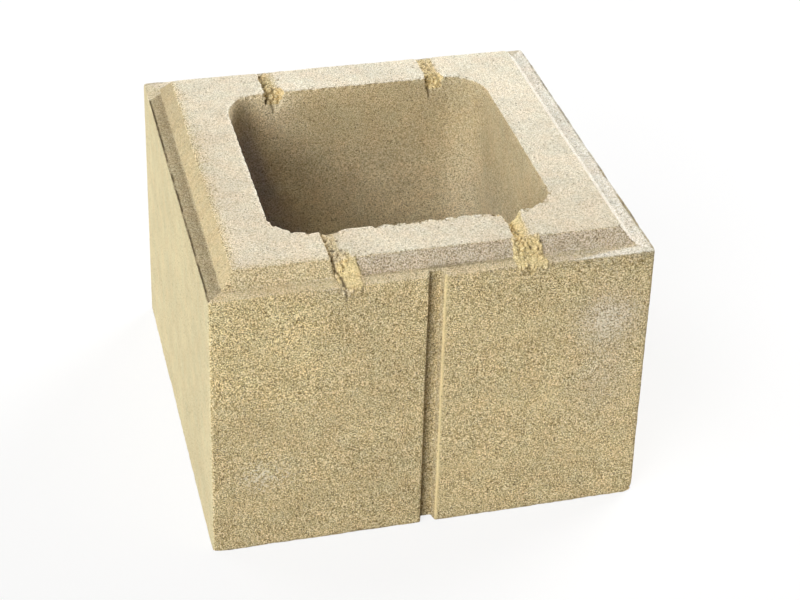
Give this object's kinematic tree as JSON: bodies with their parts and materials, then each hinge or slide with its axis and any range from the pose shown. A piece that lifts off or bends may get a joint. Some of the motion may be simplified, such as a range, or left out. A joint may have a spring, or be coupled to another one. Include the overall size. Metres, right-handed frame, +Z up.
{
  "type": "hollow pillar block",
  "caption": "Square hollow concrete block for building pillars, with a raised bevelled bearing rim, dummy joint grooves and break-out notches.",
  "frame": {"origin": "middle of the foot, on the level that the block stands on", "axes": "+Z up through the core, -Y towards the grooved front face"},
  "size_m": [0.28, 0.28, 0.2],
  "materials": {
    "concrete": "matt dry-cast concrete, buff, fine sandy grain"
  },
  "bodies": {
    "root": {"pillar_block": "concrete"}
  },
  "joints": []
}
